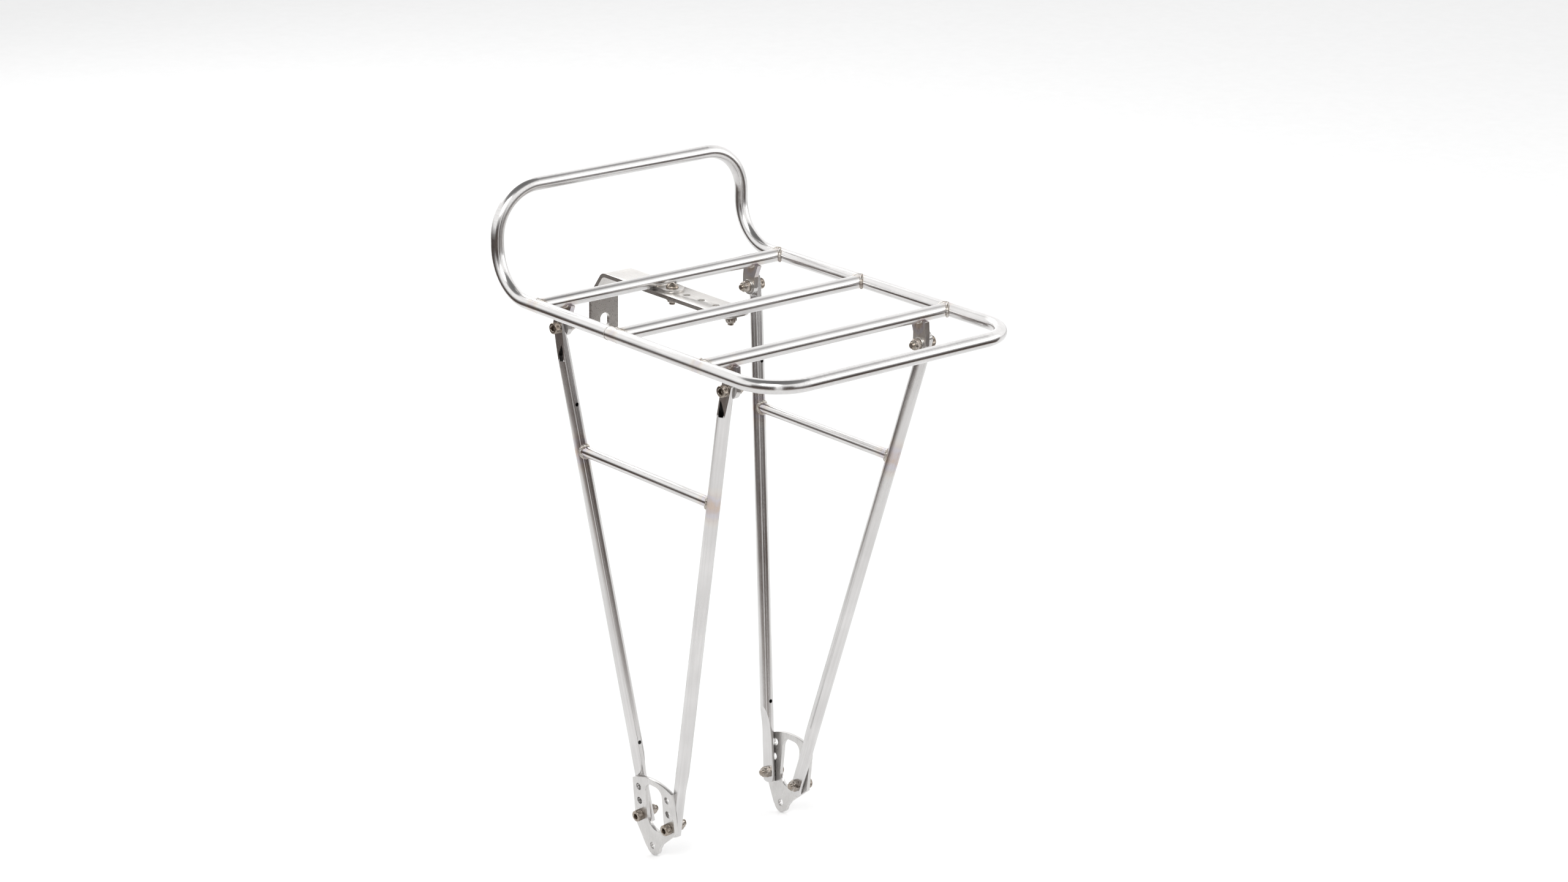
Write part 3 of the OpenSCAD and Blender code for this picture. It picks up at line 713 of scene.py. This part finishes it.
FLOOR_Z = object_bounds()[0][2] - 0.0005
bm = bmesh.new()
bmesh.ops.create_grid(bm, x_segments=8, y_segments=8, size=14.0)
bmesh.ops.translate(bm, verts=bm.verts, vec=(0, 0, FLOOR_Z))
floor = make_object("floor", bm, stage_material())

# The world's brightness from straight down to straight up: white, with a dark patch overhead
WORLD_STOPS = [(0.0, 0.95), (0.50, 0.95), (0.80, 1.0), (0.86, 0.95), (0.90, 0.22), (1.0, 0.16)]
WORLD_STRENGTH = 1.4


def studio_world():
    """White surroundings whose dark patch overhead darkens what the tops of the tubes reflect."""
    world = bpy.data.worlds.new("studio")
    bpy.context.scene.world = world
    world.use_nodes = True
    tree = world.node_tree
    tree.nodes.clear()
    out = tree.nodes.new("ShaderNodeOutputWorld")
    background = tree.nodes.new("ShaderNodeBackground")
    background.inputs["Strength"].default_value = WORLD_STRENGTH
    direction = tree.nodes.new("ShaderNodeTexCoord").outputs["Generated"]
    split = tree.nodes.new("ShaderNodeSeparateXYZ")
    height = tree.nodes.new("ShaderNodeMapRange")
    height.inputs["From Min"].default_value = -1.0
    height.inputs["From Max"].default_value = 1.0
    shade = tree.nodes.new("ShaderNodeValToRGB")
    fill_ramp(shade.color_ramp, [(place, (value,) * 3) for place, value in WORLD_STOPS])
    tree.links.new(direction, split.inputs[0])
    tree.links.new(split.outputs["Z"], height.inputs["Value"])
    tree.links.new(height.outputs[0], shade.inputs[0])
    tree.links.new(shade.outputs[0], background.inputs["Color"])
    tree.links.new(background.outputs[0], out.inputs["Surface"])


studio_world()


def area_light(name, place, width, height, power):
    """A soft light at place that faces the middle of the rack."""
    data = bpy.data.lights.new(name, "AREA")
    data.shape = "RECTANGLE"
    data.size = width
    data.size_y = height
    data.energy = power
    obj = bpy.data.objects.new(name, data)
    obj.location = place
    obj.rotation_euler = (RACK_MIDDLE - Vector(place)).to_track_quat("-Z", "Y").to_euler()
    bpy.context.scene.collection.objects.link(obj)


RACK_MIDDLE = Vector((0, -0.03, 0.25))
area_light("key", (-1.6, -1.2, 2.2), 1.4, 1.4, 26)
area_light("fill", (2.2, -1.6, 1.2), 1.6, 1.6, 16)
area_light("rim", (0.4, 2.2, 1.6), 1.6, 0.8, 18)

# The camera is ahead of the front bar and to its left, and looks down a little
CAM_AZIMUTH, CAM_ELEVATION, CAM_ROLL = -0.7120, 0.3220, 0.0160
CAM_DISTANCE, CAM_LENS, CAM_SENSOR = 2.604, 82.27, 36.0
CAM_TARGET = Vector((0.01933, -0.04619, 0.31450))


def set_camera():
    """Puts the camera on its direction from the target, turned about its own view by the roll."""
    level = math.cos(CAM_ELEVATION)
    back = Vector((math.sin(CAM_AZIMUTH) * level, -math.cos(CAM_AZIMUTH) * level, math.sin(CAM_ELEVATION)))
    right = (-back).cross(UP).normalized()
    up = right.cross(-back)
    rolled_right = right * math.cos(CAM_ROLL) + up * math.sin(CAM_ROLL)
    rolled_up = up * math.cos(CAM_ROLL) - right * math.sin(CAM_ROLL)
    data = bpy.data.cameras.new("camera")
    data.lens = CAM_LENS
    data.sensor_width = CAM_SENSOR
    data.clip_start = 0.05
    data.clip_end = 60.0
    obj = bpy.data.objects.new("camera", data)
    matrix = Matrix((rolled_right, rolled_up, back)).transposed().to_4x4()
    matrix.translation = CAM_TARGET + back * CAM_DISTANCE
    obj.matrix_world = matrix
    bpy.context.scene.collection.objects.link(obj)
    bpy.context.scene.camera = obj


set_camera()

# Dark, curved cards around the rack, seen in reflections only: they draw the dark streaks on the tubes.
# Each has its radius and its top, in metres, and its two ends, in degrees from the camera's direction.
CARDS = {"low_card_left": (0.80, 0.52, -118, 2), "low_card_right": (0.80, 0.52, 13, 102),
         "tall_card_left": (0.76, 0.80, -40, 2), "tall_card_right": (0.76, 0.80, 13, 32)}
CARD_STEPS = 48
CARD_FOOT = FLOOR_Z + 0.02


def card_material(name, top):
    """A card's glow: brown-black, paler at its foot and fading to white at its top."""
    n = Nodes(name)
    n.tree.nodes.remove(n.bsdf)
    split = n.add("ShaderNodeSeparateXYZ")
    n.link(n.coord, split.inputs[0])
    height = n.math("DIVIDE", split.outputs["Z"], top)
    shade = n.ramp(height, [(0.0, (0.55, 0.50, 0.46)), (0.16, (0.12, 0.09, 0.075)),
                            (0.62, (0.08, 0.065, 0.06)), (0.97, (1.0, 1.0, 1.0))])
    glow = n.add("ShaderNodeEmission")
    n.link(shade, glow.inputs["Color"])
    n.link(glow.outputs[0], n.out.inputs["Surface"])
    return n.mat


toward = math.atan2(-math.cos(CAM_AZIMUTH), math.sin(CAM_AZIMUTH))
for name, (radius, top, first, last) in CARDS.items():
    bm = bmesh.new()
    columns = []
    for k in range(CARD_STEPS + 1):
        a = toward + math.radians(first + (last - first) * k / CARD_STEPS)
        x, y = radius * math.cos(a), radius * math.sin(a)
        columns.append([bm.verts.new((x, y, z)) for z in (CARD_FOOT, top)])
    for a, b in zip(columns, columns[1:]):
        bm.faces.new((a[0], b[0], b[1], a[1]))
    card = make_object(name, bm, card_material(name, top))
    for hidden in ("camera", "diffuse", "transmission", "shadow", "volume_scatter"):
        setattr(card, f"visible_{hidden}", False)

bpy.context.scene.view_settings.view_transform = "Standard"
